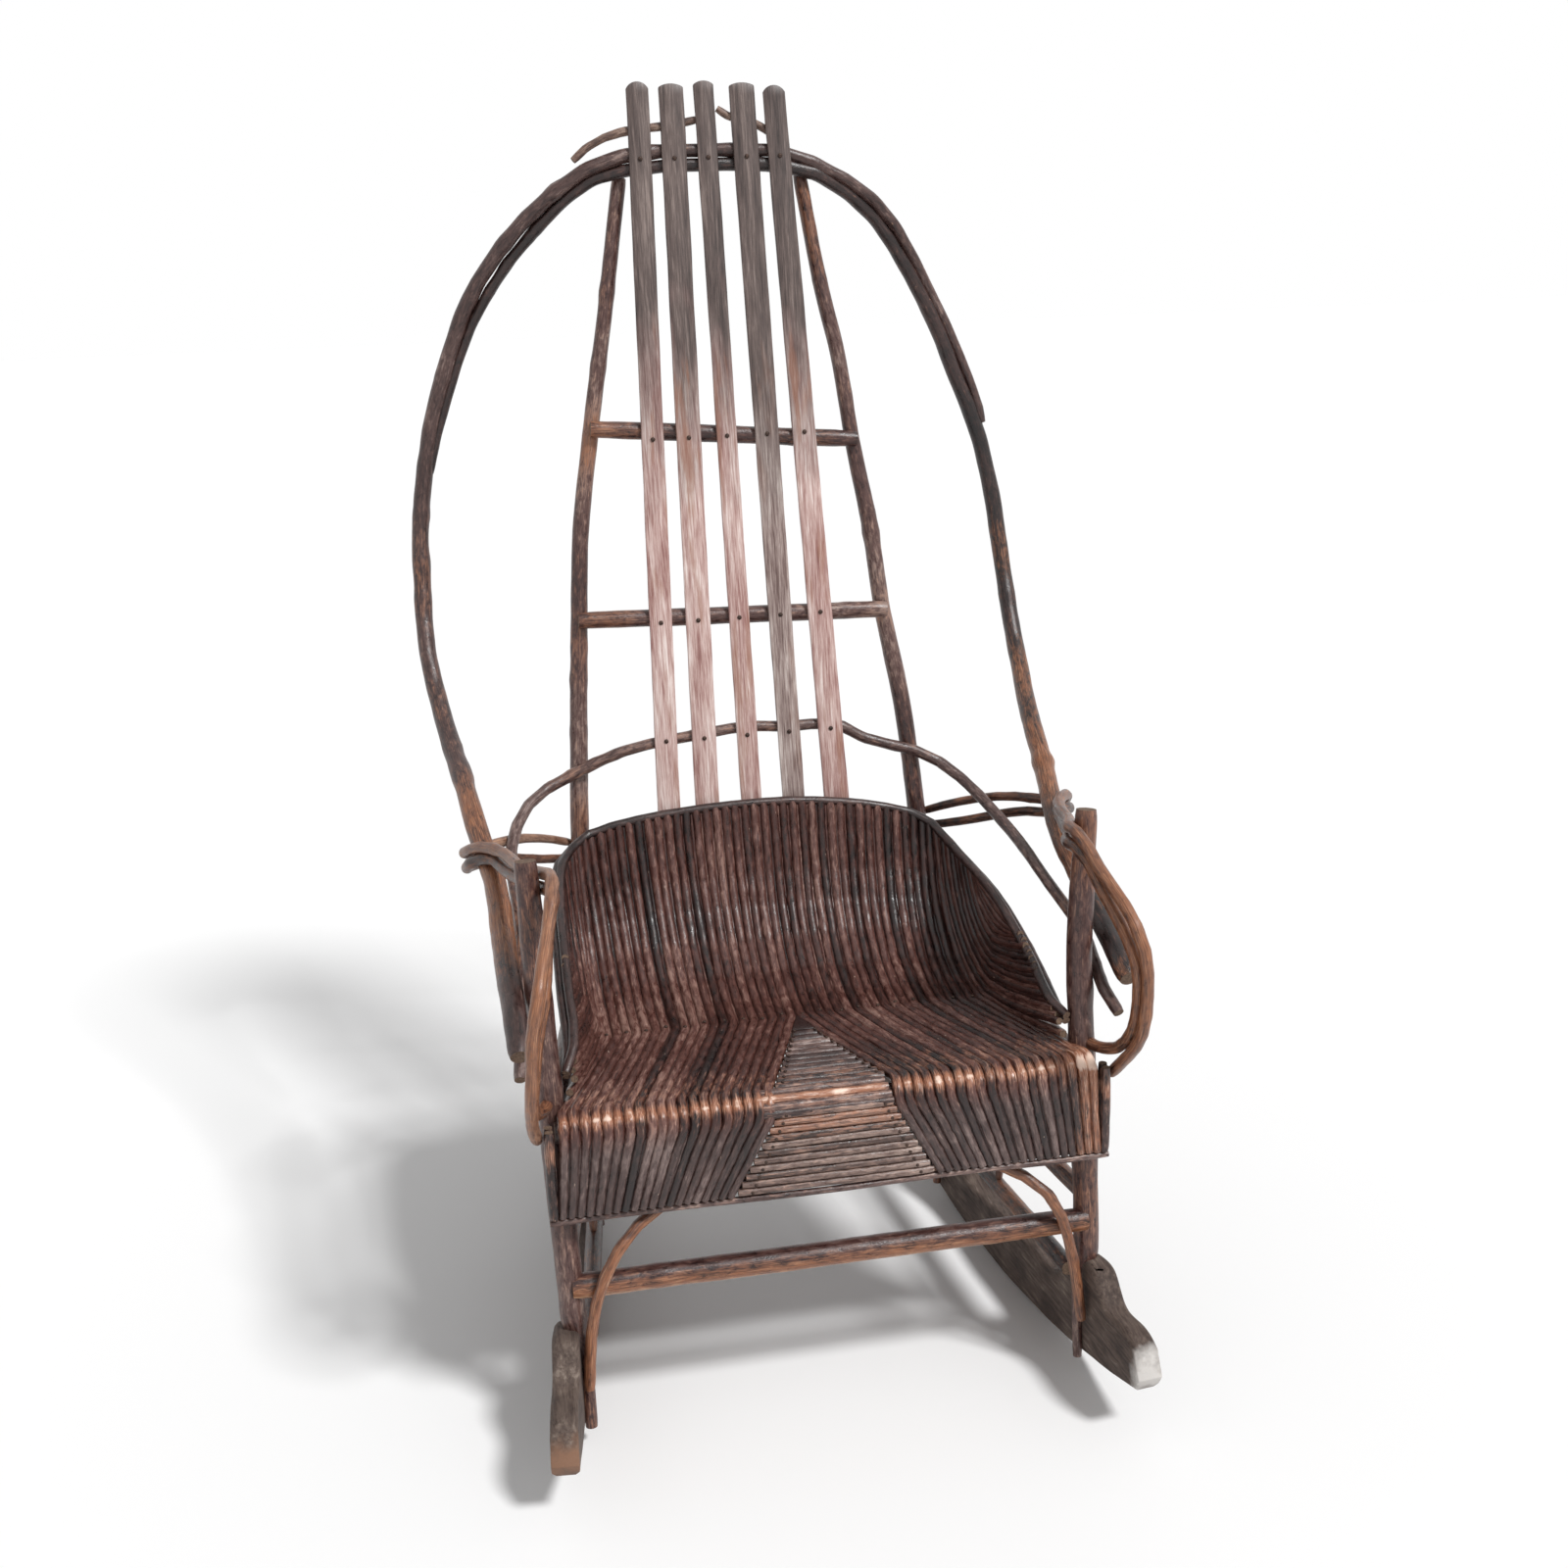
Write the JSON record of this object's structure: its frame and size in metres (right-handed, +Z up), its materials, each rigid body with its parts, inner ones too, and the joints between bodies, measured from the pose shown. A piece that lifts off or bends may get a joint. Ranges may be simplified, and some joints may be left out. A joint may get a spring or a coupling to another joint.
{
  "type": "rocking chair",
  "caption": "Rustic hickory rocking chair with a bent-twig bucket seat, looping twig arms, a slatted back and a hooped crest on curved plank rockers.",
  "frame": {"origin": "on the floor, under the middle of the chair's bounding box", "axes": "+Z up from the floor, -Y towards the way the sitter faces, +X to the right in the picture"},
  "size_m": [0.6934, 0.7388, 1.28],
  "materials": {
    "hickory_bark": "weathered bark, matte with a dull sheen",
    "rocker_wood": "grey weathered planks, matte",
    "slat_wood": "worn stain over split wood, satin",
    "peeled_wood": "peeled pale twig, matte",
    "nail_iron": "dark rusted iron"
  },
  "bodies": {
    "root": {"apron_edging_rod": "hickory_bark", "apron_rail": "hickory_bark", "apron_trim_left": "hickory_bark", "apron_trim_right": "hickory_bark", "arm_rod_lower_left": "hickory_bark", "arm_rod_lower_right": "hickory_bark", "arm_rod_upper_left": "hickory_bark", "arm_rod_upper_right": "hickory_bark", "back_bow": "hickory_bark", "back_post_left": "hickory_bark", "back_post_right": "hickory_bark", "back_rung_lower": "hickory_bark", "back_rung_upper": "hickory_bark", "crest_rod_left": "peeled_wood", "crest_rod_right": "peeled_wood", "front_arch_brace": "hickory_bark", "front_post_left": "hickory_bark", "front_post_right": "hickory_bark", "front_seat_rail": "hickory_bark", "front_stretcher": "hickory_bark", "hoop_sapling_inner": "hickory_bark", "hoop_sapling_outer": "hickory_bark", "rear_seat_rail": "hickory_bark", "rear_stretcher": "hickory_bark", "rim_rod_inner": "hickory_bark", "rim_rod_outer": "hickory_bark", "rocker_left": "rocker_wood", "rocker_right": "rocker_wood", "seat_cross_rod_middle": "hickory_bark", "seat_cross_rod_rear": "hickory_bark", "seat_twigs_left": "hickory_bark", "seat_twigs_right": "hickory_bark", "side_brace_left": "hickory_bark", "side_brace_right": "hickory_bark", "side_seat_rail_left": "hickory_bark", "side_seat_rail_right": "hickory_bark", "side_stretcher_lower_left": "hickory_bark", "side_stretcher_lower_right": "hickory_bark", "side_stretcher_upper_left": "hickory_bark", "side_stretcher_upper_right": "hickory_bark", "slat_1": "slat_wood", "slat_2": "slat_wood", "slat_3": "slat_wood", "slat_4": "slat_wood", "slat_5": "slat_wood", "slat_nails": "nail_iron", "wall_twigs_left": "hickory_bark", "wall_twigs_right": "hickory_bark", "wedge_apex_block": "hickory_bark", "wedge_apron_twigs": "hickory_bark", "wedge_seat_twigs": "hickory_bark"}
  },
  "joints": []
}
